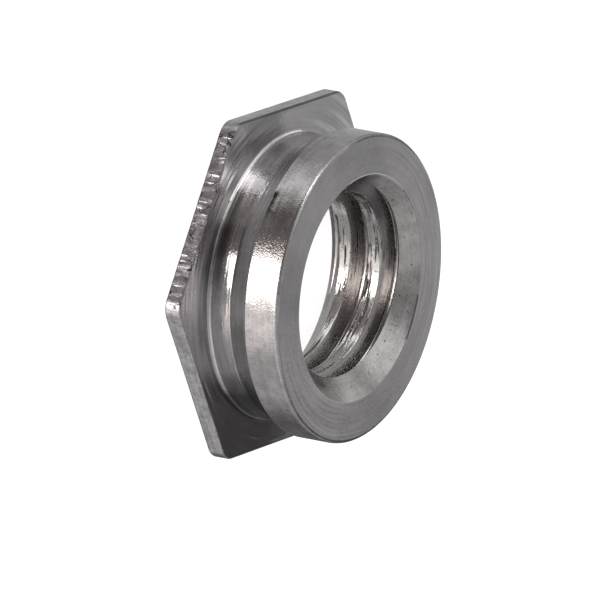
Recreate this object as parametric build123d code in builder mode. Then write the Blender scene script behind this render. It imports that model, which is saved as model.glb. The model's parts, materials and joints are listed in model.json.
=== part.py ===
from build123d import *

import os
from math import cos, radians, sin, tan

# A flush self-clinching nut, turned in one piece from stainless steel bar: a thin
# hexagonal flange that carries an undercut barrel with a thread through both.
# It stands on its flange. The origin is at the centre of the flange's outer face, +Z runs
# along the bore towards the barrel's front face, and two corners of the hexagon lie on the
# X axis. Sizes are in millimetres.

# Flange: a hexagonal plate that the panel closes over
flange_across_flats = 4.79
flange_thickness = 0.24
flange_corner_radius = 0.30
flange_edge_break = 0.02

# Barrel: the round shank that goes through the panel's hole
barrel_diameter = 4.35
overall_height = 1.48
barrel_land_height = 0.52
barrel_edge_radius = 0.05

# Undercut: the groove between flange and barrel that the panel's metal flows into
undercut_depth = 0.175
undercut_floor_width = 0.38
undercut_root_radius = 0.06

# Thread: right-hand, tapped from end to end; one root lies at this height on the +X side
thread_diameter = 3.00
thread_pitch = 0.50
thread_depth = 0.20
thread_angle = 60.0
thread_root_height = 0.48
tap_core_clearance = 0.04

# Countersinks at both mouths of the thread, each wider than the thread by its margin
countersink_angle = 90.0
front_countersink_margin = 0.20
back_countersink_margin = 0.26

# What follows from the sizes above
barrel_radius = barrel_diameter / 2
undercut_radius = barrel_radius - undercut_depth
undercut_floor_top = flange_thickness + undercut_floor_width
barrel_back_edge = overall_height - barrel_land_height
major_radius = thread_diameter / 2
minor_radius = major_radius - thread_depth
front_mouth_radius = major_radius + front_countersink_margin / 2
back_mouth_radius = major_radius + back_countersink_margin / 2


# The hexagonal plate, with rounded corners and lightly broken edges
with BuildPart() as flange:
    with BuildSketch():
        RegularPolygon(flange_across_flats / 2, 6, major_radius=False)
    extrude(amount=flange_thickness)
    fillet(flange.edges().filter_by(Axis.Z), flange_corner_radius)
    fillet(flange.edges().group_by(Axis.Z)[0], flange_edge_break)
    fillet(flange.edges().group_by(Axis.Z)[-1], flange_edge_break)


# The turned shank: undercut floor, conical wall, land and rounded front edge
with BuildPart() as barrel:
    with BuildSketch(Plane.XZ):
        with BuildLine():
            root = (undercut_radius + undercut_root_radius, flange_thickness)
            floor_start = (undercut_radius, flange_thickness + undercut_root_radius)
            land_top = (barrel_radius, overall_height - barrel_edge_radius)
            front_corner = (barrel_radius - barrel_edge_radius, overall_height)
            Polyline((0, overall_height), (0, 0), (root[0], 0), root)
            RadiusArc(root, floor_start, undercut_root_radius)
            Polyline(
                floor_start,
                (undercut_radius, undercut_floor_top),
                (barrel_radius, barrel_back_edge),
                land_top,
            )
            RadiusArc(land_top, front_corner, -barrel_edge_radius)
            Line(front_corner, (0, overall_height))
        make_face()
    revolve(axis=Axis.Z)


def at(radius, angle):
    """The point of a section at this radius and angle in degrees."""
    return (radius * cos(radians(angle)), radius * sin(radians(angle)))


def make_tap():
    """The room that the thread's grooves leave open, as a screw that is longer than the nut.

    Every section across a thread is the same outline, turned by one turn for each pitch.
    The outline has one arc at the root and one at the core, and between them the two
    flanks, whose radius changes evenly with the angle. The core stays a little inside the
    bore, so that the bore alone leaves the round crests.
    """
    root_end = 360 / 8 / 2
    cut_depth = thread_depth + tap_core_clearance
    core_radius = major_radius - cut_depth
    flank_turn = 360 * cut_depth * tan(radians(thread_angle / 2)) / thread_pitch
    core_start = root_end + flank_turn
    flank_point_count = 7

    def flank(side):
        """Points down one flank, from the root to the core."""
        shares = [index / (flank_point_count - 1) for index in range(flank_point_count)]
        return [
            at(major_radius - cut_depth * share, side * (root_end + flank_turn * share))
            for share in shares
        ]

    with BuildSketch() as outline:
        with BuildLine():
            RadiusArc(at(major_radius, -root_end), at(major_radius, root_end), -major_radius)
            Spline(flank(1))
            RadiusArc(
                at(core_radius, core_start),
                at(core_radius, -core_start),
                -core_radius,
                short_sagitta=core_start > 90,
            )
            Spline(flank(-1))
        make_face()
    turns = int(overall_height / thread_pitch) + 3
    screw = Solid.extrude_linear_with_rotation(
        outline.face(), (0, 0, 0), (0, 0, turns * thread_pitch), 360 * turns
    )
    return Location((0, 0, thread_root_height % thread_pitch - thread_pitch)) * screw


# The conical mouths at both ends of the thread, drawn down to half of the bore's width
with BuildPart() as countersinks:
    end_radius = minor_radius / 2
    slope = tan(radians(countersink_angle / 2))
    mouths = ((Plane.XY.offset(overall_height), front_mouth_radius), (-Plane.XY, back_mouth_radius))
    for mouth, mouth_radius in mouths:
        with Locations(mouth):
            depth = (mouth_radius - end_radius) / slope
            Cone(end_radius, mouth_radius, depth, align=(Align.CENTER, Align.CENTER, Align.MAX))


tap = make_tap()
with BuildPart() as nut:
    add(flange.part)
    add(barrel.part)
    add(tap, mode=Mode.SUBTRACT)
    with Locations((0, 0, overall_height)):
        Hole(minor_radius)
    add(countersinks.part, mode=Mode.SUBTRACT)

nut.part.label = "clinch_nut"
os.makedirs("parts", exist_ok=True)
export_step(nut.part, "parts/clinch_nut.step")
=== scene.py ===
"""Flush self-clinching nut in turned stainless steel: the dressed model, its studio and its camera.

The nut stands on its flange at the origin, with its bore along +Z. Lengths are in metres.
"""

import json
import logging
import math
from collections.abc import Callable
from dataclasses import dataclass
from enum import Enum

import bpy
from mathutils import Matrix, Vector


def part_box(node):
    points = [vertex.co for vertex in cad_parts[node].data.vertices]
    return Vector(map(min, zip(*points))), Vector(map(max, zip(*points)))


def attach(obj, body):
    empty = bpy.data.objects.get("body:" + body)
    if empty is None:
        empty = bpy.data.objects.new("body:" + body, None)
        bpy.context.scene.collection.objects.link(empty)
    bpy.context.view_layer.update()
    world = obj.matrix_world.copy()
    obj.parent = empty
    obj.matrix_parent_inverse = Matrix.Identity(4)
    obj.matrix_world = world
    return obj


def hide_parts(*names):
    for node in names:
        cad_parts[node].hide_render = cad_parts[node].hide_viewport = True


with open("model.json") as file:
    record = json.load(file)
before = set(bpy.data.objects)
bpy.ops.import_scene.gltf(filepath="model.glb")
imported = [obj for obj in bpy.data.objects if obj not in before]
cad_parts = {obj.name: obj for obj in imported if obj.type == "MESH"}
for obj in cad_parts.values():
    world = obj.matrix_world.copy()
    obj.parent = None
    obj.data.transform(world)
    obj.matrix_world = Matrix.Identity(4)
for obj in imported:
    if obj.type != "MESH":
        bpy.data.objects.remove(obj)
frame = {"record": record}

LOG = logging.getLogger("clinch_nut")
MM = 0.001
UM = 0.000001
NODE_NAME = "clinch_nut"
WHITE = (1.0, 1.0, 1.0)
OPAQUE_WHITE = (*WHITE, 1.0)


def direction(azimuth: float, elevation: float) -> Vector:
    """The direction at an angle round the nut and an angle above the flange's plane, in radians."""
    level = math.cos(elevation)
    return Vector((level * math.cos(azimuth), level * math.sin(azimuth), math.sin(elevation)))


def add_object(name: str, data: bpy.types.ID) -> bpy.types.Object:
    """Put a new object in the scene.

    Args:
        name: The object's name.
        data: Its mesh, lamp or camera.

    Returns:
        The object.
    """
    made = bpy.data.objects.new(name, data)
    bpy.context.scene.collection.objects.link(made)
    return made


def joining(operation: str) -> Callable[["Field", "Field | float"], "Field"]:
    """Make a method for fields that joins one with another value in a Math node.

    Args:
        operation: The node's operation.

    Returns:
        The method.
    """

    def join(self: "Field", other: "Field | float") -> "Field":
        """Both values, joined."""
        return self.net.math(operation, self, other)

    return join


class Field:
    """One output of a node, with ordinary arithmetic on it. A comparison is 1 where it holds, else 0."""

    def __init__(self, net: "Net", socket: bpy.types.NodeSocket) -> None:
        """Keep the output and the net that it belongs to."""
        self.net = net
        self.socket = socket

    def __rsub__(self, other: float) -> "Field":
        """The other less this."""
        return self.net.math("SUBTRACT", other, self)

    def __abs__(self) -> "Field":
        """The value without its sign."""
        return self.net.math("ABSOLUTE", self)

    __add__ = __radd__ = joining("ADD")
    __sub__ = joining("SUBTRACT")
    __mul__ = __rmul__ = joining("MULTIPLY")
    __truediv__ = joining("DIVIDE")
    __gt__ = joining("GREATER_THAN")
    __lt__ = joining("LESS_THAN")


class Net:
    """A node tree, with short calls that add nodes to it."""

    def __init__(self, tree: bpy.types.NodeTree) -> None:
        """Keep the tree that the calls add to."""
        self.tree = tree

    @classmethod
    def of(cls, owner: bpy.types.Material | bpy.types.World) -> "Net":
        """Start the nodes of a material or world afresh.

        Args:
            owner: The material or world.

        Returns:
            The net of its emptied tree.
        """
        owner.use_nodes = True
        owner.node_tree.nodes.clear()
        return cls(owner.node_tree)

    def feed(self, socket: bpy.types.NodeSocket, value: object) -> None:
        """Link a field to an input, or set the input's own value.

        Args:
            socket: The input to feed.
            value: A field, or a plain value.
        """
        if isinstance(value, Field):
            self.tree.links.new(value.socket, socket)
        else:
            socket.default_value = value

    def add(self, kind: str, inputs: dict | None = None, **settings: object) -> bpy.types.Node:
        """Add one node.

        Args:
            kind: The node's type name.
            inputs: What feeds each input, by the input's name or number.
            **settings: Properties of the node.

        Returns:
            The new node.
        """
        node = self.tree.nodes.new(kind)
        for name, value in settings.items():
            setattr(node, name, value)
        for key, value in (inputs or {}).items():
            self.feed(node.inputs[key], value)
        return node

    def out(self, kind: str, inputs: dict | None = None, output: int | str = 0, **settings: object) -> Field:
        """Add one node and return one of its outputs.

        Args:
            kind: The node's type name.
            inputs: What feeds each input, by the input's name or number.
            output: The output's name or number.
            **settings: Properties of the node.

        Returns:
            The output as a field.
        """
        return Field(self, self.add(kind, inputs, **settings).outputs[output])

    def math(self, operation: str, *values: object) -> Field:
        """One Math node with its inputs in order."""
        return self.out("ShaderNodeMath", dict(enumerate(values)), operation=operation)

    def vector_math(self, operation: str, inputs: dict) -> Field:
        """One Vector Math node."""
        return self.out("ShaderNodeVectorMath", inputs, operation=operation)

    def clamp(self, value: Field, low: float | Field, high: float | Field) -> Field:
        """The value kept between low and high."""
        return self.math("MINIMUM", self.math("MAXIMUM", value, low), high)

    def ramp(self, value: Field, start: float | Field, end: float | Field) -> Field:
        """0 before start, 1 after end, and a smooth rise between them."""
        inputs = {"Value": value, "From Min": start, "From Max": end}
        return self.out("ShaderNodeMapRange", inputs, interpolation_type="SMOOTHSTEP")

    def window(self, value: Field, start: object, full: object, fading: object, end: object) -> Field:
        """1 from full to fading, 0 before start and after end, and smooth between them."""
        return self.ramp(value, start, full) * (1.0 - self.ramp(value, fading, end))

    def rise(self, value: Field, start: float, gain: float, top: float) -> Field:
        """0 up to start, then a straight rise by this gain, as far as the top."""
        return self.clamp((value - start) * gain, 0.0, top)

    def pick(self, test: Field, yes: Field | float, no: Field | float) -> Field:
        """One value where the test is 1, the other where it is 0."""
        return test * yes + (1.0 - test) * no

    def vector(self, x: object, y: object, z: object) -> Field:
        """A vector from its three parts."""
        return self.out("ShaderNodeCombineXYZ", {0: x, 1: y, 2: z})

    def blend(self, share: Field | float, first: object, second: object) -> Field:
        """Blend two colours.

        Args:
            share: How much of the second colour there is, from 0 to 1.
            first: The colour where the share is 0.
            second: The colour where the share is 1.

        Returns:
            The blended colour.
        """
        node = self.add("ShaderNodeMix", data_type="RGBA")
        for name, value in (("Factor_Float", share), ("A_Color", first), ("B_Color", second)):
            self.feed(next(socket for socket in node.inputs if socket.identifier == name), value)
        return Field(self, next(socket for socket in node.outputs if socket.identifier == "Result_Color"))

    def cross(self, first: object, second: object) -> Field:
        """The cross product of two vectors, at length 1."""
        return self.vector_math("NORMALIZE", {0: self.vector_math("CROSS_PRODUCT", {0: first, 1: second})})

    def lean(self, normal: Field, way: Field, slope: Field | float) -> Field:
        """The normal leaned over by a slope in the direction of a way."""
        step = self.vector_math("SCALE", {0: way, "Scale": slope})
        return self.vector_math("NORMALIZE", {0: self.vector_math("ADD", {0: normal, 1: step})})

    def parts(self, vector: Field) -> list[Field]:
        """The x, y and z of a vector."""
        node = self.add("ShaderNodeSeparateXYZ", {0: vector})
        return [Field(self, output) for output in node.outputs]

    def from_axis(self, x: Field, y: Field) -> Field:
        """The distance from the nut's axis."""
        return self.math("SQRT", x * x + y * y)

    def turn_from(self, azimuth: float, x: Field, y: Field) -> Field:
        """The angle round the axis in radians, counted from an azimuth in degrees."""
        cosine, sine = math.cos(math.radians(azimuth)), math.sin(math.radians(azimuth))
        return self.math("ARCTAN2", y * cosine - x * sine, x * cosine + y * sine)

    def noise(self, vector: Field, scale: float = 1.0, detail: float = 2.0, roughness: float = 0.5) -> Field:
        """Noise from 0 to 1 with its mean at 0.5."""
        inputs = {"Vector": vector, "Scale": scale, "Detail": detail, "Roughness": roughness}
        return self.out("ShaderNodeTexNoise", inputs)


@dataclass(frozen=True)
class Corner:
    """One corner of a turned section.

    Attributes:
        radius: Distance from the nut's axis.
        height: Height over the flange's outer face.
        rounding: Radius of the corner's arc.
        runs: Into how many stretches the straight line after it is divided.
    """

    radius: float
    height: float
    rounding: float = 8 * UM
    runs: int = 2


class Section:
    """A line of points in the plane of the nut's axis, with rounded corners."""

    arc_points = 3
    broad_arc_points = 5
    broad_rounding = 40 * UM
    longest_reach = 0.4
    straight = math.radians(89)
    support = 9 * UM
    longest_support = 0.2

    def __init__(self, corners: list[Corner], closed: bool) -> None:
        """Draw the line.

        Args:
            corners: The corners in order, with the solid to the left of the line.
            closed: Whether the last corner joins the first.
        """
        self.points: list[Vector] = []
        places = [Vector((corner.radius, corner.height)) for corner in corners]
        count = len(corners)
        arcs = []
        for index, corner in enumerate(corners):
            before = places[index - 1] - places[index]
            after = places[(index + 1) % count] - places[index]
            if not closed and index in (0, count - 1):
                arcs.append([places[index]])
            else:
                arcs.append(self.arc(places[index], before, after, corner.rounding))
        for index, corner in enumerate(corners):
            self.points += arcs[index]
            if closed or index < count - 1:
                self.points += self.run(arcs[index][-1], arcs[(index + 1) % count][0], corner.runs)
        if closed:
            self.points.append(self.points[0])

    def arc(self, place: Vector, before: Vector, after: Vector, rounding: float) -> list[Vector]:
        """The points of one rounded corner.

        Args:
            place: The sharp corner.
            before: The way back to the corner before it.
            after: The way on to the corner after it.
            rounding: The arc's radius.

        Returns:
            The arc's points in order.
        """
        back, on = before.normalized(), after.normalized()
        half = back.angle(on) / 2
        if half > self.straight:
            return [place]
        room = min(before.length * self.longest_reach, after.length * self.longest_reach)
        reach = min(rounding / math.tan(half), room)
        start, end = place + back * reach, place + on * reach
        centre = place + (back + on).normalized() * (reach / math.cos(half))
        radius = (start - centre).length
        count = self.arc_points if rounding < self.broad_rounding else self.broad_arc_points
        points = []
        for step in range(count):
            chord = start.lerp(end, step / (count - 1)) - centre
            points.append(centre + chord.normalized() * radius)
        return points

    def run(self, start: Vector, end: Vector, runs: int) -> list[Vector]:
        """The points inside a straight stretch, with one close to each end of it.

        Args:
            start: The stretch's first point.
            end: Its last point.
            runs: Into how many parts it is divided.

        Returns:
            The points between the two, in order.
        """
        edge = min(self.support / (end - start).length, self.longest_support)
        shares = [edge] + [step / runs for step in range(1, runs)] + [1 - edge]
        return [start.lerp(end, share) for share in shares]

    def as_object(self, name: str) -> bpy.types.Object:
        """Make an object of loose points, with the radius as X and the height as Z.

        Args:
            name: The name of the object and its mesh.

        Returns:
            The object.
        """
        mesh = bpy.data.meshes.new(name)
        mesh.from_pydata([(point.x, 0, point.y) for point in self.points], [], [])
        return add_object(name, mesh)


class Lay(Enum):
    """The way in which the tool marks of a finish run."""

    ROUND = "round the axis"
    HELIX = "along the thread"
    LENGTHWISE = "along the side of the hexagon"
    CROSSWISE = "across the side of the hexagon"


class Stretch(Enum):
    """The heights over the flange's outer face at which a patch of painted shade, painted light or stain
    starts and ends.
    """

    WHOLE = (0.0, 1.5 * MM)
    THREAD = (0.2 * MM, 1.5 * MM)
    FLOOR = (0.26 * MM, 0.64 * MM)
    LOW_FLOOR = (0.26 * MM, 0.44 * MM)
    HIGH_FLOOR = (0.45 * MM, 0.62 * MM)
    WALL = (0.64 * MM, 0.95 * MM)
    LAND = (0.9 * MM, 1.5 * MM)
    BACK_EDGE = (0.90 * MM, 1.02 * MM)
    FRONT_EDGE = (1.46 * MM, 1.6 * MM)
    FACE = (1.4 * MM, 1.6 * MM)
    CONE = (1.0 * MM, 1.6 * MM)
    CONE_RIM = (1.43 * MM, 1.6 * MM)


@dataclass(frozen=True)
class ShadeAndStain:
    """A patch of the steel's skin that is painted darker or lighter than the rest: mostly painted shade where
    darker and painted light where lighter.

    Attributes:
        azimuth: Its middle, in degrees from +X.
        half_width: Half of the angle that it takes up, in degrees.
        stretch: The heights at which it starts and ends.
        depth: How much darker it is. Below 0 it is lighter.
        ragged: How ragged its sides are.
    """

    azimuth: float
    half_width: float
    stretch: Stretch
    depth: float
    ragged: float = 0.5

    full_share = 0.5
    soft_height = 0.03 * MM
    ragged_width = 0.09 * MM
    ragged_height = 0.1 * MM

    def share(self, net: Net, place: Field) -> Field:
        """By how much the colour at a point is multiplied.

        Args:
            net: The material's nodes.
            place: The point on the nut.

        Returns:
            1 beside the patch, and less or more on it.
        """
        x, y, z = net.parts(place)
        aside = abs(net.turn_from(self.azimuth, x, y))
        rough = (net.noise(place, 1 / self.ragged_width, detail=3.0) - 0.5) * self.ragged
        beside = 1.0 - net.ramp(aside / math.radians(self.half_width) + rough, self.full_share, 1.0)
        level, soft = z + rough * self.ragged_height, self.soft_height
        low, high = self.stretch.value
        within = net.window(level, low - soft, low + soft, high - soft, high + soft)
        return 1.0 - beside * within * self.depth


@dataclass(frozen=True)
class SteelFinish:
    """One finish of the bare steel.

    Attributes:
        name: The material's name.
        colour: The steel's colour.
        roughness: The mean roughness.
        mark_slope: Steepness of the fine tool marks.
        band_width: Distance between two coarse tool marks.
        band_slope: Steepness of the coarse tool marks.
        stain: How much the colour varies.
        lay: The way in which the tool marks run.
        mark_width: Distance between two fine tool marks.
        grain_width: Size of the skin's grain.
        grain_depth: Height of the grain.
        lean: Mean steepness of the tool marks, towards the outside of a face or the foot of a wall.
        lines: How much the colour varies with the coarse tool marks.
        pits: How much of the surface small dark pits take, from 0 to 1.
        cracks: How wide the dark tears along the tool marks are, from 0 to 1.
        painted_root_shade: How much darker the thread is painted towards its root, as painted shade, from 0
            to 1.
        glints: How steeply the few bright facets on the surface lean.
        cloud_width: Width of the soft clouds in the colour.
        shades_and_stains: The patches that are darker or lighter, mostly painted shade and painted light.
    """

    name: str
    colour: tuple[float, float, float]
    roughness: float
    mark_slope: float
    band_width: float
    band_slope: float
    stain: float
    lay: Lay = Lay.ROUND
    mark_width: float = 0.03 * MM
    grain_width: float = 0.05 * MM
    grain_depth: float = 1.6 * UM
    lean: float = 0.0
    lines: float = 0.0
    pits: float = 0.0
    cracks: float = 0.0
    painted_root_shade: float = 0.0
    glints: float = 0.0
    cloud_width: float = 0.45 * MM
    shades_and_stains: tuple[ShadeAndStain, ...] = ()

    # how much the roughness varies, and how smooth the steel can get
    blur = 0.08
    least_roughness = 0.05

    # the length of the tool marks on the drawn sides and on the torn one
    side_mark_length = 1.2 * MM
    tear_length = 0.32 * MM

    # the dark pits: the noise level at which they start, less where there are more of them
    pit_width = 0.045 * MM
    pit_start = 0.84
    pit_gain = 0.1
    pit_softness = 0.06
    pit_darkness = 0.5

    # the dark tears, which come in patches
    crack_spacing = 4.0
    crack_shortness = 0.4
    crack_core = 0.03
    crack_side = 0.08
    crack_darkness = 0.85
    patch_width = 0.3 * MM
    patch_shortness = 3.0
    patch_start = 0.40
    patch_full = 0.50

    # the bright facets
    facet_width = 0.04 * MM
    facet_start = 0.66
    facet_full = 0.72

    def build(self, sizes: "NutSizes") -> bpy.types.Material:
        """Make the material.

        Args:
            sizes: The nut's sizes, for the thread's pitch.

        Returns:
            The material.
        """
        material = bpy.data.materials.new(self.name)
        net = Net.of(material)
        place = net.out("ShaderNodeTexCoord", output="Object")
        normal = net.out("ShaderNodeNewGeometry", output="Normal")
        across = net.cross(self.along_marks(net, place, normal, sizes), normal)
        marks = net.noise(self.read_marks(net, place, sizes, self.mark_width), roughness=0.6)
        bands = net.noise(self.read_marks(net, place, sizes, self.band_width))
        grain = net.noise(place, 1 / self.grain_width, roughness=0.6)
        clouds = net.noise(place, 1 / self.cloud_width, detail=3.0, roughness=0.6)
        shade = 1.0 + (marks - 0.5 + grain - 0.5) * (self.stain / 2) + (clouds - 0.5) * self.stain
        shade = self.add_flaws(net, place, sizes, shade + (bands - 0.5) * self.lines)
        colour = net.vector_math("SCALE", {0: self.colour, "Scale": shade})
        blurred = self.roughness + (clouds - 0.5 + grain - 0.5) * self.blur
        roughness = net.clamp(blurred, self.least_roughness, 1.0)
        slope = (marks - 0.5) * self.mark_slope + (bands - 0.5) * self.band_slope + self.lean
        if self.glints:
            facets = net.noise(place, 1 / self.facet_width, detail=1.0)
            if self.lay is Lay.CROSSWISE:
                facets = net.noise(self.read_marks(net, place, sizes, self.facet_width), detail=1.0)
            slope = slope + net.ramp(facets, self.facet_start, self.facet_full) * self.glints
        leaned = net.lean(normal, across, slope)
        bump = {"Height": grain, "Distance": self.grain_depth, "Strength": 1.0, "Normal": leaned}
        grained = net.out("ShaderNodeBump", bump)
        steel = {"Base Color": colour, "Metallic": 1.0, "Roughness": roughness, "Normal": grained}
        net.add("ShaderNodeOutputMaterial", {"Surface": net.out("ShaderNodeBsdfPrincipled", steel)})
        return material

    def add_flaws(self, net: Net, place: Field, sizes: "NutSizes", shade: Field) -> Field:
        """Darken the colour in pits and tears, paint shade towards the thread's root, and paint the patches
        of shade, light and stain.

        Args:
            net: The material's nodes.
            place: The point on the nut.
            sizes: The nut's sizes.
            shade: By how much the colour is multiplied without them.

        Returns:
            By how much the colour is multiplied with them.
        """
        if self.pits:
            speckle = net.noise(place, 1 / self.pit_width, detail=0.0)
            start = self.pit_start - self.pits * self.pit_gain
            shade = shade * (1.0 - net.ramp(speckle, start, start + self.pit_softness) * self.pit_darkness)
        if self.cracks:
            spacing = self.mark_width * self.crack_spacing
            tears = net.noise(self.read_marks(net, place, sizes, spacing, self.crack_shortness))
            spot = self.read_marks(net, place, sizes, self.patch_width, self.patch_shortness)
            patches = net.ramp(net.noise(spot, detail=1.0), self.patch_start, self.patch_full)
            core, side = self.cracks * self.crack_core, self.cracks * self.crack_side
            line = 1.0 - net.ramp(abs(tears - 0.5), core, side)
            shade = shade * (1.0 - line * patches * self.crack_darkness)
        # painted shade: darker towards the thread's root
        if self.painted_root_shade:
            x, y, _ = net.parts(place)
            depth = net.ramp(net.from_axis(x, y), sizes.crest_radius, sizes.root_radius)
            shade = shade * (1.0 - depth * self.painted_root_shade)
        # each patch multiplies the colour: mostly painted shade where darker and painted light where lighter
        for stain in self.shades_and_stains:
            shade = shade * stain.share(net, place)
        return shade

    def along_marks(self, net: Net, place: Field, normal: Field, sizes: "NutSizes") -> Field:
        """The direction in which the tool marks run.

        Args:
            net: The material's nodes.
            place: The point on the nut.
            normal: The surface's direction there.
            sizes: The nut's sizes.

        Returns:
            The direction, at any length.
        """
        if self.lay is Lay.CROSSWISE:
            return net.vector(0.0, 0.0, 1.0)
        if self.lay is Lay.LENGTHWISE:
            return net.cross((0.0, 0.0, 1.0), normal)
        x, y, _ = net.parts(place)
        climb = sizes.pitch / math.tau if self.lay is Lay.HELIX else 0.0
        return net.vector(y * -1.0, x, climb)

    def read_marks(
        self, net: Net, place: Field, sizes: "NutSizes", width: float, shortness: float = 1.6
    ) -> Field:
        """The point at which to read the noise of the tool marks.

        The noise runs slowly along the marks and fast across them.

        Args:
            net: The material's nodes.
            place: The point on the nut.
            sizes: The nut's sizes.
            width: Distance between two marks.
            shortness: How fast the marks change round the axis.

        Returns:
            The point, counted in marks.
        """
        x, y, z = net.parts(place)
        if self.lay is Lay.LENGTHWISE:
            return net.vector(x / self.side_mark_length, y / self.side_mark_length, z / width)
        if self.lay is Lay.CROSSWISE:
            return net.vector(x / width, y / width, z / self.tear_length)
        radius = net.from_axis(x, y)
        climb = 0.0
        if self.lay is Lay.HELIX:
            climb = net.math("ARCTAN2", y, x) * (sizes.pitch / math.tau)
        across = net.vector(0.0, 0.0, (z - climb + radius) / width)
        around = net.vector(x / radius * shortness, y / radius * shortness, 0.0)
        return net.vector_math("ADD", {0: around, 1: across})


TURNED_FACE = SteelFinish(
    name="steel_turned_face",
    colour=(0.375, 0.363, 0.368),
    roughness=0.28,
    mark_width=0.022 * MM,
    mark_slope=0.3,
    band_width=0.11 * MM,
    band_slope=0.10,
    stain=0.42,
    lean=0.045,
    lines=0.12,
    pits=0.3,
    # painted light near -15 degrees and painted shade near -148 and -72 degrees
    shades_and_stains=(
        ShadeAndStain(-15.0, 50.0, Stretch.FACE, -0.2),
        ShadeAndStain(-148.0, 30.0, Stretch.FACE, 0.13),
        ShadeAndStain(-72.0, 18.0, Stretch.FACE, 0.14),
    ),
)
TURNED_FLANGE = SteelFinish(
    name="steel_turned_flange",
    colour=(0.374, 0.363, 0.371),
    roughness=0.2,
    mark_width=0.05 * MM,
    mark_slope=0.45,
    band_width=0.10 * MM,
    band_slope=0.45,
    grain_width=0.04 * MM,
    grain_depth=0.5 * UM,
    stain=0.30,
    lean=0.2,
    lines=0.6,
    # painted shade near 2 degrees, a darker patch beside the corner at -134 degrees, and painted light at -67
    # degrees
    shades_and_stains=(
        ShadeAndStain(2.0, 36.0, Stretch.WHOLE, 0.35),
        ShadeAndStain(-134.0, 14.0, Stretch.WHOLE, 0.3, 0.9),
        ShadeAndStain(-67.0, 22.0, Stretch.WHOLE, -0.3),
    ),
)
# painted shade: a dark copy of the steel that stands in for the dark reflections along the flange's foot, the
# front edge of one side and part of the mouth
EDGE_SHADE = SteelFinish(
    name="steel_painted_dark_edge",
    lay=Lay.LENGTHWISE,
    colour=(0.13, 0.125, 0.125),
    roughness=0.35,
    mark_slope=0.15,
    band_width=0.08 * MM,
    band_slope=0.1,
    grain_depth=2.0 * UM,
    stain=1.2,
)
BARREL_SKIN = SteelFinish(
    name="steel_barrel",
    colour=(0.368, 0.355, 0.356),
    roughness=0.16,
    mark_slope=0.15,
    band_width=0.12 * MM,
    band_slope=0.10,
    grain_width=0.022 * MM,
    grain_depth=3.4 * UM,
    stain=1.0,
    lines=0.15,
    pits=0.15,
    glints=0.22,
    cloud_width=0.22 * MM,
    # darker at the knock and at -97 and -65 degrees; painted shade at -180 degrees and over the front edge
    # near -168 degrees; painted light near -2 degrees
    shades_and_stains=(
        ShadeAndStain(-102.5, 6.0, Stretch.BACK_EDGE, 0.85),
        ShadeAndStain(-97.0, 14.0, Stretch.LAND, 0.12, 1.5),
        ShadeAndStain(-65.0, 9.0, Stretch.LAND, 0.12, 1.2),
        ShadeAndStain(-180.0, 13.0, Stretch.LAND, 0.5, 0.8),
        ShadeAndStain(-168.0, 34.0, Stretch.FRONT_EDGE, 0.6),
        ShadeAndStain(-2.0, 14.0, Stretch.LAND, -0.25),
    ),
)
UNDERCUT_SKIN = SteelFinish(
    name="steel_undercut",
    colour=(0.362, 0.349, 0.348),
    roughness=0.14,
    mark_slope=0.4,
    band_width=0.09 * MM,
    band_slope=0.2,
    grain_width=0.04 * MM,
    stain=0.6,
    lines=0.9,
    # painted shade at the groove's bottom near -2 degrees, on the low floor at -80 and on the high floor at
    # -112 degrees; painted light on the wall at -72 and on the floor at -99, -62 and -128 degrees
    shades_and_stains=(
        ShadeAndStain(-2.0, 20.0, Stretch.WHOLE, 0.6),
        ShadeAndStain(-99.0, 10.0, Stretch.FLOOR, -0.5, 0.8),
        ShadeAndStain(-80.0, 16.0, Stretch.LOW_FLOOR, 0.45),
        ShadeAndStain(-72.0, 24.0, Stretch.WALL, -0.6),
        ShadeAndStain(-62.0, 9.0, Stretch.HIGH_FLOOR, -0.5),
        ShadeAndStain(-128.0, 18.0, Stretch.FLOOR, -0.5),
        ShadeAndStain(-112.0, 9.0, Stretch.HIGH_FLOOR, 0.4),
    ),
)
# painted highlight: a light copy of the steel that stands in for the bright reflections along the undercut's
# root, the barrel's front edge and part of the mouth
PAINTED_HIGHLIGHT = SteelFinish(
    name="steel_painted_highlight",
    colour=(0.74, 0.73, 0.725),
    roughness=0.16,
    mark_slope=0.2,
    band_width=0.09 * MM,
    band_slope=0.1,
    grain_width=0.04 * MM,
    stain=0.8,
)
DRAWN_SIDE = SteelFinish(
    name="steel_drawn_side",
    lay=Lay.LENGTHWISE,
    colour=(0.373, 0.364, 0.368),
    roughness=0.32,
    mark_slope=0.15,
    band_width=0.08 * MM,
    band_slope=0.3,
    grain_width=0.035 * MM,
    grain_depth=2.4 * UM,
    stain=1.5,
    lines=0.9,
    cloud_width=0.1 * MM,
)
TORN_SIDE = SteelFinish(
    name="steel_torn_side",
    lay=Lay.CROSSWISE,
    colour=(0.34, 0.324, 0.358),
    roughness=0.32,
    mark_width=0.06 * MM,
    mark_slope=0.3,
    band_width=0.18 * MM,
    band_slope=0.15,
    grain_width=0.035 * MM,
    grain_depth=3.5 * UM,
    stain=1.1,
    pits=0.4,
    cracks=0.2,
    glints=0.19,
    cloud_width=0.12 * MM,
)
COUNTERSUNK = SteelFinish(
    name="steel_countersink",
    colour=(0.375, 0.361, 0.358),
    roughness=0.28,
    mark_slope=0.14,
    band_width=0.16 * MM,
    band_slope=0.12,
    grain_width=0.045 * MM,
    grain_depth=2.4 * UM,
    stain=0.9,
    lines=0.2,
    pits=1.05,
    cloud_width=0.2 * MM,
    # painted shade across the cone near 99 degrees and along its rim near 92 degrees
    shades_and_stains=(
        ShadeAndStain(99.0, 8.0, Stretch.CONE, 0.12, 0.8),
        ShadeAndStain(92.0, 14.0, Stretch.CONE_RIM, 0.3, 0.9),
    ),
)
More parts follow.
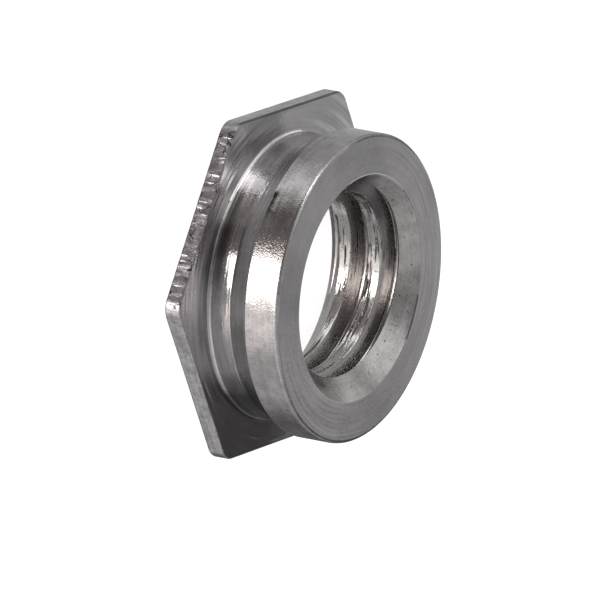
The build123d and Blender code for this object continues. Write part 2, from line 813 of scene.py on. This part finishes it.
TAPPED = SteelFinish(
    name="steel_thread",
    lay=Lay.HELIX,
    colour=(0.36, 0.345, 0.34),
    roughness=0.25,
    mark_slope=0.18,
    band_width=0.09 * MM,
    band_slope=0.22,
    grain_depth=1.0 * UM,
    stain=0.4,
    lines=0.5,
    cracks=0.15,
    painted_root_shade=0.1,
    glints=0.1,
    # painted shade in the thread's groove near 143 degrees
    shades_and_stains=(ShadeAndStain(143.0, 28.0, Stretch.THREAD, 0.4, 0.6),),
)
DRILLED_CREST = SteelFinish(
    name="steel_thread_crest",
    lay=Lay.HELIX,
    colour=(0.42, 0.405, 0.40),
    roughness=0.16,
    mark_slope=0.8,
    band_width=0.06 * MM,
    band_slope=1.8,
    stain=0.9,
    lines=0.7,
    cracks=0.26,
    glints=0.6,
    # painted shade at 140 degrees and painted light at 160 and 84 degrees
    shades_and_stains=(
        ShadeAndStain(140.0, 18.0, Stretch.THREAD, 0.15, 1.0),
        ShadeAndStain(160.0, 10.0, Stretch.THREAD, -0.3, 1.0),
        ShadeAndStain(84.0, 19.0, Stretch.THREAD, -0.75, 1.0),
    ),
)
FINISHES = (
    TAPPED,
    DRILLED_CREST,
    TURNED_FACE,
    TURNED_FLANGE,
    BARREL_SKIN,
    UNDERCUT_SKIN,
    PAINTED_HIGHLIGHT,
    EDGE_SHADE,
    COUNTERSUNK,
    DRAWN_SIDE,
    TORN_SIDE,
)


@dataclass(frozen=True)
class NutSizes:
    """The nut's sizes. The first five come from the frame."""

    across_flats: float
    height: float
    barrel_radius: float
    crest_radius: float
    hexagon_rounding: float
    flange_thickness: float = 0.24 * MM
    undercut_radius: float = 2.00 * MM
    undercut_rounding: float = 0.06 * MM
    undercut_floor_top: float = 0.62 * MM
    barrel_back_edge: float = 0.96 * MM
    thread_depth: float = 0.20 * MM
    pitch: float = 0.50 * MM
    root_height: float = 0.48 * MM
    front_mouth_radius: float = 1.60 * MM
    back_mouth_radius: float = 1.63 * MM

    @classmethod
    def from_frame(cls, record: dict) -> "NutSizes":
        """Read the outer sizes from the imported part.

        Args:
            record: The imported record, with the mounts of the thread and the barrel.

        Returns:
            The nut's sizes.
        """
        _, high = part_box(NODE_NAME)
        radii = {mount["name"]: mount["dims"].get("r_mm") for mount in record["mounts"]}
        sharpness = 1 / math.cos(math.tau / 12)
        rounding = (high.y * sharpness - high.x) / (sharpness - 1)
        return cls(2 * high.y, high.z, radii["barrel"] * MM, radii["thread"] * MM, rounding)

    @property
    def apothem(self) -> float:
        """Distance from the axis to a side of the hexagon."""
        return self.across_flats / 2

    @property
    def root_radius(self) -> float:
        """Radius at the bottom of the thread."""
        return self.crest_radius + self.thread_depth

    @property
    def root_half(self) -> float:
        """Half of the width of the flat at the bottom of the thread."""
        return self.pitch / 16


class ClinchNut:
    """The whole nut, as one closed skin that Geometry Nodes make by the rules of its turning and tapping."""

    columns = 600
    thread_columns = 400
    flank_angle = math.radians(30)
    bore_core = 0.9 * MM
    tap_reach = 0.3 * MM
    pitches_below = 3
    spare_pitches = 2
    hexagon_base = 2.06 * MM
    hexagon_rim = 0.06 * MM
    sixths_added = 12.0
    smooth_angle = math.radians(32)
    weld = 0.1 * UM

    # the knock in the land's back edge
    dent_angle = math.radians(-102.5)
    dent_turn = math.radians(4)
    dent_full_share = 0.4
    dent_above = 0.11 * MM
    dent_below = 0.06 * MM
    dent_full_height = 0.01 * MM
    dent_grain_per_radian = 40.0
    dent_grain_height = 0.05 * MM
    dent_over_floor = 0.1 * MM

    # the torn side, the ridges across it and the chips along its front edge
    torn_full_depth = 12 * UM
    torn_end_depth = 45 * UM
    torn_full_share = 0.86
    torn_end_share = 0.97
    ridge_width = 0.16 * MM
    ridge_length = 0.30 * MM
    chip_width = 0.055 * MM
    chip_length = 0.06 * MM
    chip_start = 0.72
    chip_shift = 5.0

    # the tool marks, tears and burrs on the tap
    streaks_around = 5.0
    streak_width = 0.035 * MM
    streak_drift = 0.5 * MM
    tears_around = 26.0
    tear_length = 0.12 * MM
    burrs_around = 9.0
    burr_length = 0.3 * MM
    lip_full = 5 * UM
    lip_fading = 10 * UM
    lip_end = 34 * UM

    # how far beside its ideal place a face still gets the finish of a surface
    skin = 1 * UM
    wall_reach = 2 * UM
    face_reach = 3 * UM
    crest_reach = 9 * UM
    rim_reach = 45 * UM
    barrel_reach = 49 * UM
    torn_reach = 60 * UM

    # the sizes of the edges with painted highlight and painted shade, and where they end
    front_edge_width = 24 * UM
    mouth_edge_width = 11 * UM
    mouth_edge_height = 9 * UM
    foot_height = 14 * UM
    dark_side_angle = math.radians(-150)
    dark_side_width = 27 * UM
    dark_side_height = 26 * UM
    highlight_root_width = 0.6
    highlight_root_height = 0.4
    highlight_side = -0.4 * MM
    highlight_root_side = -0.75 * MM
    highlight_edge_side = -1.7 * MM
    bright_mouth_x = -1.15 * MM
    bright_mouth_y = 0.3 * MM
    dark_mouth_start = -0.44 * MM
    dark_mouth_end = 0.2 * MM

    def __init__(self, sizes: NutSizes) -> None:
        """Keep the nut's sizes, make its finishes and start its tree.

        Args:
            sizes: The nut's sizes.
        """
        self.sizes = sizes
        self.finishes = {finish: finish.build(sizes) for finish in FINISHES}
        self.net = Net(bpy.data.node_groups.new("turned_and_tapped_nut", "GeometryNodeTree"))
        self.size: dict[str, Field] = {}

    def blank_section(self) -> Section:
        """Draw the section of the turned blank.

        Returns:
            The section, with a narrow hole that the tap opens later.
        """
        s = self.sizes
        front_depth = s.front_mouth_radius - self.bore_core
        back_depth = s.back_mouth_radius - self.bore_core
        return Section(
            [
                Corner(s.back_mouth_radius, 0, runs=2),
                Corner(s.apothem, 0, 20 * UM, runs=7),
                Corner(s.apothem, s.flange_thickness, 20 * UM, runs=5),
                Corner(s.undercut_radius, s.flange_thickness, s.undercut_rounding, runs=3),
                Corner(s.undercut_radius, s.undercut_floor_top, 60 * UM, runs=2),
                Corner(s.barrel_radius, s.barrel_back_edge, 10 * UM, runs=7),
                Corner(s.barrel_radius, s.height, 50 * UM, runs=3),
                Corner(s.front_mouth_radius, s.height, 12 * UM, runs=4),
                Corner(self.bore_core, s.height - front_depth, runs=1),
                Corner(self.bore_core, back_depth, runs=3),
            ],
            closed=True,
        )

    def tap_section(self) -> Section:
        """Draw the section of one pitch of the tap.

        Returns:
            The section, from the middle of one crest to the next.
        """
        s = self.sizes
        return Section(
            [
                Corner(s.crest_radius, -s.pitch / 2, runs=3),
                Corner(s.crest_radius, -self.flank_end, 8 * UM, runs=4),
                Corner(s.root_radius, -s.root_half, 30 * UM, runs=2),
                Corner(s.root_radius, s.root_half, 30 * UM, runs=4),
                Corner(s.crest_radius, self.flank_end, 8 * UM, runs=3),
                Corner(s.crest_radius, s.pitch / 2),
            ],
            closed=False,
        )

    @property
    def flank_end(self) -> float:
        """Distance along the axis from the middle of a root to the crest's edge."""
        return self.sizes.root_half + self.sizes.thread_depth * math.tan(self.flank_angle)

    @property
    def inputs(self) -> dict[str, float]:
        """The tree's named numbers.

        Returns:
            The value of each number by its name, in order.
        """
        return {
            "Across flats": self.sizes.across_flats,
            "Flange thickness": self.sizes.flange_thickness,
            "Hexagon rounding": self.sizes.hexagon_rounding,
            "Height": self.sizes.height,
            "Pitch": self.sizes.pitch,
            "Root height": self.sizes.root_height,
            "Torn depth": 9 * UM,
            "Dent depth": 16 * UM,
            "Tool mark depth": 4 * UM,
            "Seed": 7.0,
        }

    def build(self) -> bpy.types.Object:
        """Make the nut.

        Returns:
            The finished object, at the origin, with its finishes on it.
        """
        blank = self.blank_section()
        tap = self.tap_section()
        base = blank.as_object("blank_section")
        tap_object = tap.as_object("tap_section")
        tree = self.make_tree(len(blank.points), len(tap.points) - 1)
        modifier = base.modifiers.new("turning", "NODES")
        modifier.node_group = tree
        values = {"Tap section": tap_object, **self.inputs}
        for item in tree.interface.items_tree:
            if item.in_out == "INPUT" and item.name in values:
                modifier[item.identifier] = values[item.name]
        graph = bpy.context.evaluated_depsgraph_get()
        mesh = bpy.data.meshes.new_from_object(base.evaluated_get(graph))
        base.modifiers.remove(modifier)
        for helper in (base, tap_object):
            bpy.data.objects.remove(helper)
        mesh.name = "turned_nut"
        LOG.info("turned_nut: %d faces, %d materials", len(mesh.polygons), len(mesh.materials))
        return add_object("turned_nut", mesh)

    def make_tree(self, blank_rows: int, tap_rows: int) -> bpy.types.NodeTree:
        """The tree that turns the blank, shapes its flange, taps it and gives it its finishes.

        Args:
            blank_rows: Points in the blank's section.
            tap_rows: Points in one pitch of the tap's section.

        Returns:
            The tree.
        """
        net = self.net
        sockets = net.tree.interface
        sockets.new_socket("Geometry", in_out="OUTPUT", socket_type="NodeSocketGeometry")
        sockets.new_socket("Geometry", in_out="INPUT", socket_type="NodeSocketGeometry")
        sockets.new_socket("Tap section", in_out="INPUT", socket_type="NodeSocketObject")
        for name in self.inputs:
            sockets.new_socket(name, in_out="INPUT", socket_type="NodeSocketFloat")
        given = net.add("NodeGroupInput")
        self.size = {name: Field(net, given.outputs[name]) for name in self.inputs}
        blank = self.turn_blank(Field(net, given.outputs["Geometry"]), blank_rows)
        tap_object = Field(net, given.outputs["Tap section"])
        tap_section = net.out("GeometryNodeObjectInfo", {"Object": tap_object}, output="Geometry")
        meshes = {"Mesh 1": blank, "Mesh 2": self.make_tap(tap_section, tap_rows)}
        tapped = net.out("GeometryNodeMeshBoolean", meshes, operation="DIFFERENCE", solver="MANIFOLD")
        whole = net.out("GeometryNodeRealizeInstances", {"Geometry": self.shade(tapped)})
        net.add("NodeGroupOutput", {"Geometry": self.give_finishes(whole)})
        return net.tree

    def grid(self, section: Field, rows: int, columns: int, pitches: int) -> tuple[Field, ...]:
        """A flat grid, and where each of its points lies on the turned form.

        Args:
            section: The points of the section.
            rows: Points in the section.
            columns: Steps in one turn.
            pitches: How often the section is repeated along the axis.

        Returns:
            The grid, then the radius, height, turn and number of the pitch of its points.
        """
        net = self.net
        mesh = net.out("GeometryNodeMeshGrid", {"Vertices X": columns + 1, "Vertices Y": rows * pitches})
        index = net.out("GeometryNodeInputIndex")
        column = net.math("FLOOR", (index + 0.5) / (rows * pitches))
        line = index - column * (rows * pitches)
        repeat = net.math("FLOOR", (line + 0.5) / rows)
        point = net.out(
            "GeometryNodeSampleIndex",
            {"Geometry": section, 1: net.out("GeometryNodeInputPosition"), "Index": line - repeat * rows},
            data_type="FLOAT_VECTOR",
        )
        radius, _, height = net.parts(point)
        return mesh, radius, height, column / columns, repeat

    def place(self, mesh: Field, radius: Field, angle: Field, height: Field) -> Field:
        """Put the grid's points at their places on the turned form, and weld what meets.

        Args:
            mesh: The grid.
            radius: The distance of each point from the axis.
            angle: Its angle round the axis.
            height: Its height over the flange's outer face.

        Returns:
            The turned form as a closed mesh.
        """
        net = self.net
        spot = net.vector(radius * net.math("COSINE", angle), radius * net.math("SINE", angle), height)
        moved = net.out("GeometryNodeSetPosition", {"Geometry": mesh, "Position": spot})
        return net.out("GeometryNodeMergeByDistance", {"Geometry": moved, "Distance": self.weld})

    def hexagon(self, angle: Field) -> Field:
        """The distance from the axis to the rounded hexagon's outline.

        Args:
            angle: The angle round the axis.

        Returns:
            The distance at that angle.
        """
        net = self.net
        sixth = math.tau / 6
        apothem = self.size["Across flats"] / 2
        rounding = self.size["Hexagon rounding"]
        turn = angle / sixth + self.sixths_added
        from_corner = abs(turn - net.math("FLOOR", turn + 0.5)) * sixth
        flat = apothem / net.math("COSINE", sixth / 2 - from_corner)
        centre = (apothem - rounding) / math.cos(sixth / 2)
        side = centre * net.math("SINE", from_corner)
        arc = centre * net.math("COSINE", from_corner) + net.math("SQRT", rounding * rounding - side * side)
        across, along = rounding * math.sin(sixth / 2), centre + rounding * math.cos(sixth / 2)
        return net.pick(from_corner < net.math("ARCTAN2", across, along), arc, flat)

    def turn_blank(self, section: Field, rows: int) -> Field:
        """The turned blank with its hexagonal flange and the torn side of it.

        Args:
            section: The points of the blank's section.
            rows: Points in the section.

        Returns:
            The blank as a closed mesh.
        """
        mesh, radius, height, turn, _ = self.grid(section, rows, self.columns, 1)
        angle = turn * math.tau
        apothem = self.size["Across flats"] / 2
        in_flange = (height < self.size["Flange thickness"] + self.skin) * (radius > self.hexagon_base)
        base = self.hexagon_base
        share = self.net.clamp((radius - base) / (apothem - self.hexagon_rim - base), 0.0, 1.0)
        spread = radius + (self.hexagon(angle) - apothem) * share * in_flange
        mesh = self.place(mesh, spread - self.dent(angle, radius, height), angle, height)
        return self.tear_side(mesh)

    def dent(self, angle: Field, radius: Field, height: Field) -> Field:
        """How deep the knock in the land's back edge is.

        Args:
            angle: The angle round the axis.
            radius: The distance from the axis.
            height: The height over the flange's outer face.

        Returns:
            The depth at that point.
        """
        net = self.net
        edge = self.sizes.barrel_back_edge
        off = abs(angle - (math.tau + self.dent_angle))
        along_edge, up = angle * self.dent_grain_per_radian, height / self.dent_grain_height
        rough = net.noise(net.vector(along_edge, up, self.size["Seed"]))
        beside = 1.0 - net.ramp(off, self.dent_turn * self.dent_full_share, self.dent_turn)
        fading, end = edge + self.dent_full_height, edge + self.dent_above
        along = net.window(height, edge - self.dent_below, edge, fading, end)
        outer = radius > self.sizes.undercut_radius + self.dent_over_floor
        return beside * along * outer * (rough + 0.5) * self.size["Dent depth"]

    def tear_side(self, mesh: Field) -> Field:
        """Push the torn side's skin inwards, in ridges across it and chips along its front edge.

        Args:
            mesh: The blank.

        Returns:
            The blank with its torn side.
        """
        net, size = self.net, self.size
        x, y, z = net.parts(net.out("GeometryNodeInputPosition"))
        depth_inside = size["Across flats"] / 2 + y
        on_side = net.ramp(depth_inside * -1.0, -self.torn_end_depth, -self.torn_full_depth)
        across = size["Across flats"] / 2 * math.tan(math.tau / 12)
        on_side = on_side * (1.0 - net.ramp(abs(x) / across, self.torn_full_share, self.torn_end_share))
        ridge_place = net.vector(x / self.ridge_width, size["Seed"], z / self.ridge_length)
        ridge = net.noise(ridge_place, detail=4.0, roughness=0.7)
        chip_seed = size["Seed"] + self.chip_shift
        chips = net.noise(net.vector(x / self.chip_width, chip_seed, z / self.chip_length))
        front = net.ramp(z, size["Flange thickness"] * self.chip_start, size["Flange thickness"])
        cut = net.rise(ridge, start=0.36, gain=2.6, top=1.6)
        cut = cut + net.rise(chips, start=0.45, gain=4.0, top=1.5) * front
        offset = net.vector(0.0, cut * size["Torn depth"] * on_side, 0.0)
        return net.out("GeometryNodeSetPosition", {"Geometry": mesh, "Offset": offset})

    def make_tap(self, section: Field, rows: int) -> Field:
        """The tap: its section wound round the axis, with its tool marks and closed ends.

        Args:
            section: The points of one pitch.
            rows: Points in one pitch.

        Returns:
            The tap as a closed mesh.
        """
        net, size = self.net, self.size
        length = self.sizes.height + 2 * self.tap_reach
        pitches = math.ceil(length / self.sizes.pitch) + self.spare_pitches
        mesh, radius, line, turn, repeat = self.grid(section, rows, self.thread_columns, pitches)
        first_root = size["Root height"] - size["Pitch"] * self.pitches_below
        height = line + (repeat + turn) * size["Pitch"] + first_root
        angle = turn * math.tau
        low, high = -self.tap_reach, size["Height"] + self.tap_reach
        inside = (height > low) * (height < high)
        x, y = net.math("COSINE", angle), net.math("SINE", angle)

        def around(turns: float, along: Field) -> Field:
            """The point at which to read a noise that closes on itself round the axis."""
            return net.vector(x * turns, y * turns + size["Seed"], along)

        turns, drift = self.streaks_around, height / self.streak_drift
        streak_place = net.vector(x * turns + drift, y * turns + size["Seed"], line / self.streak_width)
        streak = net.noise(streak_place, detail=3.0, roughness=0.6)
        tears = net.noise(around(self.tears_around, height / self.tear_length))
        marks = streak - 0.5 + net.rise(tears, start=0.60, gain=5.0, top=1.5)
        past_edge = abs(line) - self.flank_end
        lip = net.window(past_edge, 0.0, self.lip_full, self.lip_fading, self.lip_end)
        burr = net.noise(around(self.burrs_around, height / self.burr_length), detail=3.0, roughness=0.6)
        marks = marks - lip * net.rise(burr, start=0.35, gain=6.0, top=2.4)
        radius = (radius + marks * size["Tool mark depth"]) * inside
        return self.place(mesh, radius, angle, net.clamp(height, low, high))

    def shade(self, mesh: Field) -> Field:
        """Shade the mesh smooth, apart from its sharp edges.

        Args:
            mesh: The tapped nut.

        Returns:
            The shaded nut.
        """
        net = self.net
        smooth = net.out("GeometryNodeSetShadeSmooth", {"Geometry": mesh, "Shade Smooth": True})
        sharp = net.out("GeometryNodeInputMeshEdgeAngle") > self.smooth_angle
        inputs = {"Geometry": smooth, "Selection": sharp, "Shade Smooth": False}
        return net.out("GeometryNodeSetShadeSmooth", inputs, domain="EDGE")

    def give_finishes(self, mesh: Field) -> Field:
        """Give each face the finish of the surface that it lies on, and paint highlight and shade along some
        edges.

        Args:
            mesh: The tapped nut.

        Returns:
            The nut with its finishes.
        """
        net, s = self.net, self.sizes
        x, y, z = net.parts(net.out("GeometryNodeInputPosition"))
        radius = net.from_axis(x, y)
        thickness = self.size["Flange thickness"]
        apothem = self.size["Across flats"] / 2
        at_rim = radius > self.hexagon(net.math("ARCTAN2", y, x)) - self.rim_reach
        side = at_rim * (z < thickness - self.skin) * (z > self.skin)
        torn = side * (y * -1.0 > apothem - self.torn_reach)
        # painted shade along the flange's foot
        foot = at_rim * (z < self.foot_height) * (z > self.skin)
        front_cone = abs(radius - z - (s.front_mouth_radius - s.height)) < self.face_reach
        back_cone = abs(radius + z - s.back_mouth_radius) < self.face_reach
        face = (z > s.height - self.face_reach) * (radius > s.front_mouth_radius)
        land = (radius > s.barrel_radius - self.barrel_reach) * (z > s.barrel_back_edge)
        past_floor = radius > s.undercut_radius - self.wall_reach
        undercut = past_floor * (z > thickness) * (z < s.barrel_back_edge)
        # painted highlight along the undercut's root, on the side towards the window
        root = past_floor * (radius < s.undercut_radius + s.undercut_rounding * self.highlight_root_width)
        root = root * (z > thickness + self.skin)
        root = root * (z < thickness + s.undercut_rounding * self.highlight_root_height)
        root = root * (x < self.highlight_side) * (y < self.highlight_root_side)
        # painted highlight along the barrel's front edge
        front_edge = radius > s.barrel_radius - self.front_edge_width
        front_edge = front_edge * (z > s.height - self.front_edge_width)
        front_edge = front_edge * (x < self.highlight_side) * (y < self.highlight_edge_side)
        mouth_edge = abs(radius - s.front_mouth_radius) < self.mouth_edge_width
        mouth_edge = mouth_edge * (z > s.height - self.mouth_edge_height)
        # painted highlight along part of the mouth's edge
        bright_mouth = mouth_edge * (x < self.bright_mouth_x) * (y < self.bright_mouth_y)
        # painted shade along another part of the mouth's edge
        dark_mouth = mouth_edge * (y > 0.0) * (x > self.dark_mouth_start) * (x < self.dark_mouth_end)
        seat = radius > s.undercut_radius + s.undercut_rounding
        seat = seat * (z < thickness + self.skin) * (z > thickness / 2)
        # painted shade along the front edge of the side towards -150 degrees
        off_axis = x * math.cos(self.dark_side_angle) + y * math.sin(self.dark_side_angle)
        dark_side_edge = (off_axis > apothem - self.dark_side_width) * (z > thickness - self.dark_side_height)
        zones = (
            (TAPPED, radius > 0.0),
            (DRILLED_CREST, radius < s.crest_radius + self.crest_reach),
            (COUNTERSUNK, front_cone * (z > s.height / 2)),
            (COUNTERSUNK, back_cone * (z < s.height / 2)),
            (TURNED_FACE, face),
            (BARREL_SKIN, land),
            (UNDERCUT_SKIN, undercut),
            (PAINTED_HIGHLIGHT, root),
            (PAINTED_HIGHLIGHT, front_edge),
            (PAINTED_HIGHLIGHT, bright_mouth),
            (EDGE_SHADE, dark_mouth),
            (TURNED_FLANGE, seat),
            (TURNED_FACE, (radius > s.back_mouth_radius) * (z < self.face_reach)),
            (DRAWN_SIDE, side),
            (TORN_SIDE, torn),
            (EDGE_SHADE, dark_side_edge * (z < thickness)),
            (EDGE_SHADE, foot),
        )
        for finish, zone in zones:
            inputs = {"Geometry": mesh, "Selection": zone, "Material": self.finishes[finish]}
            mesh = net.out("GeometryNodeSetMaterial", inputs)
        return mesh


@dataclass(frozen=True)
class PhotoCamera:
    """The camera at the photograph's viewing angle: from above, and rolled so that the bore points right."""

    azimuth: float = math.radians(-76.126)
    elevation: float = math.radians(30.474)
    roll: float = math.radians(-100.384)
    distance: float = 204.2 * MM
    target: tuple[float, float, float] = (0.3136 * MM, 0.0142 * MM, 0.5939 * MM)
    focal_pixels: float = 14740.0
    image_pixels: float = 600.0
    sensor: float = 36.0
    drop_pixels: float = 0.25
    nearest: float = 10 * MM
    farthest: float = 10.0

    def build(self) -> None:
        """Make the camera and look through it."""
        data = bpy.data.cameras.new("camera")
        data.sensor_width = self.sensor
        data.lens = self.focal_pixels / self.image_pixels * self.sensor
        data.shift_y = self.drop_pixels / self.image_pixels
        data.clip_start = self.nearest
        data.clip_end = self.farthest
        back = direction(self.azimuth, self.elevation)
        camera = add_object("camera", data)
        camera.rotation_mode = "QUATERNION"
        upright = (-back).to_track_quat("-Z", "Y")
        camera.rotation_quaternion = upright @ Matrix.Rotation(-self.roll, 4, "Z").to_quaternion()
        camera.location = Vector(self.target) + back * self.distance
        bpy.context.scene.camera = camera
        LOG.info("camera: lens %.1f mm", data.lens)


@dataclass(frozen=True)
class Lamp:
    """A soft rectangular lamp, placed by the direction in which it stands from the nut.

    Attributes:
        name: The lamp's name.
        azimuth: Direction round the nut, in degrees from +X.
        elevation: Direction above the flange's plane, in degrees.
        width: Angle that it takes up from side to side, in degrees.
        height: Angle that it takes up from top to bottom, in degrees.
        level: Brightness, where 1 is a white wall.
        colour: Colour of its light.
    """

    name: str
    azimuth: float
    elevation: float
    width: float
    height: float
    level: float
    colour: tuple[float, float, float] = WHITE

    distance = 0.12

    def build(self) -> None:
        """Make the lamp, facing the nut with its top up."""
        way = direction(math.radians(self.azimuth), math.radians(self.elevation))
        data = bpy.data.lights.new(self.name, "AREA")
        data.shape = "RECTANGLE"
        data.size = 2 * self.distance * math.tan(math.radians(self.width) / 2)
        data.size_y = 2 * self.distance * math.tan(math.radians(self.height) / 2)
        data.energy = self.level * math.pi * data.size * data.size_y
        data.color = self.colour
        lamp = add_object(self.name, data)
        facing = way.to_track_quat("Z", "Y").to_matrix().to_4x4()
        lamp.matrix_world = Matrix.Translation(way * self.distance) @ facing
        lamp.visible_camera = False


@dataclass(frozen=True)
class Patch:
    """A patch of light or shade on the tent round the nut.

    Attributes:
        azimuth: Direction round the nut, in degrees from +X.
        elevation: Direction above the flange's plane, in degrees.
        half_width: Half of the angle that it takes up from side to side.
        half_height: Half of the angle that it takes up from top to bottom.
        level: Brightness, where 1 is a white wall.
        left: Softness of its side at the lower azimuth, in degrees.
        right: Softness of its side at the higher azimuth, in degrees.
        edge: Softness of its top and bottom, in degrees.
        colour: Colour of its light.
    """

    azimuth: float
    elevation: float
    half_width: float
    half_height: float
    level: float
    left: float = 12.0
    right: float = 12.0
    edge: float = 14.0
    colour: tuple[float, float, float] = WHITE

    def share(self, net: Net, x: Field, y: Field, height: Field) -> Field:
        """How much of the tent's colour at a point is this patch's.

        Args:
            net: The tent's nodes.
            x: The direction's first part.
            y: The direction's second part.
            height: Its angle above the flange's plane, in degrees.

        Returns:
            A share from 0 to 1.
        """
        aside = net.turn_from(self.azimuth, x, y) * math.degrees(1.0)
        half = self.half_width
        across = net.window(aside, -half - self.left, -half, half, half + self.right)
        off = abs(height - self.elevation)
        return across * (1.0 - net.ramp(off, self.half_height, self.half_height + self.edge))


class Studio:
    """A pale floor, a white background, soft lamps and a grey tent that the steel reflects."""

    lamps = (
        Lamp("key_lamp", -71.0, -31.0, 22.0, 44.0, 7.0, (1.0, 0.93, 0.885)),
        Lamp("window_foot", -143.0, 15.0, 14.0, 24.0, 5.0),
    )
    room_grey = 0.58
    patches = (
        # the far side of the tent, low down
        Patch(130.0, -31.0, 40.0, 34.0, 0.56, 20.0, 15.0),
        Patch(-175.0, -20.0, 22.0, 30.0, 0.50),
        Patch(104.0, 6.0, 16.0, 8.0, 0.85, 14.0, 14.0, 12.0),
        Patch(152.0, 14.0, 7.0, 7.0, 0.98, 10.0, 12.0, 10.0),
        # the near side of the tent, beside the key lamp
        Patch(-5.0, -31.0, 25.0, 34.0, 0.68, 20.0, 18.0),
        Patch(-47.0, -31.0, 9.0, 26.0, 1.75, 4.0, 30.0, 12.0, (1.0, 0.95, 0.92)),
        Patch(76.0, -14.0, 20.0, 54.0, 0.14, 32.0, 6.0, 12.0, (1.0, 0.92, 0.98)),
        # the dark gap between the key lamp and the window
        Patch(-108.0, -28.0, 26.0, 40.0, 0.26, 2.0, 8.0, 12.0, (1.0, 0.90, 0.86)),
        # the window on the left, whose foot reaches below the nut
        Patch(-152.0, 42.0, 17.0, 22.0, 1.3, 14.0, 20.0, 10.0),
        Patch(-142.0, -22.0, 6.0, 30.0, 1.3, 18.0, 2.0, 10.0),
        # the light and dark parts of the room above the flange's plane
        Patch(-90.0, 30.0, 14.0, 8.0, 0.22, 8.0, 8.0, 8.0),
        Patch(-70.0, 65.0, 20.0, 12.0, 0.38, 12.0, 14.0),
        Patch(0.0, 46.0, 34.0, 20.0, 0.72, 14.0, 14.0),
        Patch(-14.0, 10.0, 26.0, 10.0, 1.2, 10.0, 10.0, 8.0),
        Patch(56.0, 13.0, 14.0, 7.0, 0.50, 8.0, 12.0, 7.0),
    )
    tent_radius = 0.28
    tent_segments = 48
    tent_rings = 24
    floor_radius = 0.5
    floor_corners = 64
    floor_glow = 0.80
    floor_colour = (0.55, 0.55, 0.55, 1.0)
    room_level = 0.8
    bore_shade = 0.95

    def build(self, mouth_radius: float) -> None:
        """Make the whole studio.

        Args:
            mouth_radius: Radius of the nut's opening on the floor.
        """
        self.build_world()
        self.build_floor(mouth_radius)
        self.build_tent()
        for lamp in self.lamps:
            lamp.build()
        bpy.context.scene.view_settings.view_transform = "Standard"
        LOG.info("studio: %d lamps, %d patches", len(self.lamps), len(self.patches))

    def seen_directly(self, net: Net) -> Field:
        """Tell the rays that show the background: straight ones, reflected ones and those through glass.

        Args:
            net: The nodes of the world.

        Returns:
            1 for those rays, and 0 for the others.
        """
        path = net.add("ShaderNodeLightPath")
        names = ("Is Camera Ray", "Is Glossy Ray", "Is Transmission Ray")
        camera, glossy, transmission = (Field(net, path.outputs[name]) for name in names)
        return net.clamp(camera + glossy + transmission, 0.0, 1.0)

    def build_world(self) -> None:
        """The white background, which lights the floor at the room's own level."""
        world = bpy.data.worlds.new("white_room")
        bpy.context.scene.world = world
        net = Net.of(world)
        level = net.pick(self.seen_directly(net), 1.0, self.room_level)
        light = net.out("ShaderNodeBackground", {"Color": OPAQUE_WHITE, "Strength": level})
        net.add("ShaderNodeOutputWorld", {"Surface": light})
        world.cycles.sampling_method = "NONE"

    def build_floor(self, mouth_radius: float) -> None:
        """The pale floor: white where the room lights it, with the nut's soft shadow on it.

        Args:
            mouth_radius: Radius of the nut's opening, under which the floor lies in the nut's own shade.
        """
        mesh = bpy.data.meshes.new("floor")
        turns = [math.tau * corner / self.floor_corners for corner in range(self.floor_corners)]
        ring = [(self.floor_radius * math.cos(turn), self.floor_radius * math.sin(turn), 0) for turn in turns]
        mesh.from_pydata(ring, [], [tuple(range(self.floor_corners))])
        material = bpy.data.materials.new("pale_floor")
        net = Net.of(material)
        path = net.add("ShaderNodeLightPath")
        matt = net.out("ShaderNodeBsdfDiffuse", {"Color": self.floor_colour})
        glow = net.out("ShaderNodeEmission", {"Color": OPAQUE_WHITE, "Strength": self.floor_glow})
        lit = net.out("ShaderNodeAddShader", {0: matt, 1: glow})
        x, y, _ = net.parts(net.out("ShaderNodeTexCoord", output="Object"))
        under_bore = net.from_axis(x, y) < mouth_radius
        dimmed = (self.bore_shade, self.bore_shade, self.bore_shade, 1.0)
        clear = net.out("ShaderNodeBsdfTransparent", {"Color": net.blend(under_bore, OPAQUE_WHITE, dimmed)})
        seen = Field(net, path.outputs["Is Glossy Ray"])
        surface = net.out("ShaderNodeMixShader", {0: seen, 1: lit, 2: clear})
        net.add("ShaderNodeOutputMaterial", {"Surface": surface})
        mesh.materials.append(material)
        floor = add_object("floor", mesh)
        floor.visible_shadow = False

    def build_tent(self) -> None:
        """The grey tent, which only the steel's reflections see."""
        bpy.ops.mesh.primitive_uv_sphere_add(
            segments=self.tent_segments, ring_count=self.tent_rings, radius=self.tent_radius
        )
        tent = bpy.context.object
        tent.name = "tent"
        material = bpy.data.materials.new("tent_cloth")
        net = Net.of(material)
        x, y, z = net.parts(net.out("ShaderNodeTexCoord", output="Object"))
        height = net.math("ARCTAN2", z, net.from_axis(x, y)) * math.degrees(1.0)
        light: object = (self.room_grey, self.room_grey, self.room_grey, 1.0)
        for patch in self.patches:
            shade = (*(patch.level * part for part in patch.colour), 1.0)
            light = net.blend(patch.share(net, x, y, height), light, shade)
        glow = net.out("ShaderNodeEmission", {"Color": light, "Strength": 1.0})
        net.add("ShaderNodeOutputMaterial", {"Surface": glow})
        material.cycles.emission_sampling = "NONE"
        tent.data.materials.append(material)
        tent.visible_camera = False
        tent.visible_diffuse = False
        tent.visible_shadow = False
        tent.visible_transmission = False


def main() -> None:
    """Build the nut, its studio and its camera."""
    logging.basicConfig(level=logging.INFO, format="%(name)s %(message)s")
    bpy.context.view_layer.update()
    sizes = NutSizes.from_frame(frame["record"])
    nut = ClinchNut(sizes).build()
    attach(nut, "root")
    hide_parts(NODE_NAME)
    Studio().build(sizes.back_mouth_radius)
    PhotoCamera().build()
    LOG.info("sizes written")


if __name__ == "__main__":
    main()
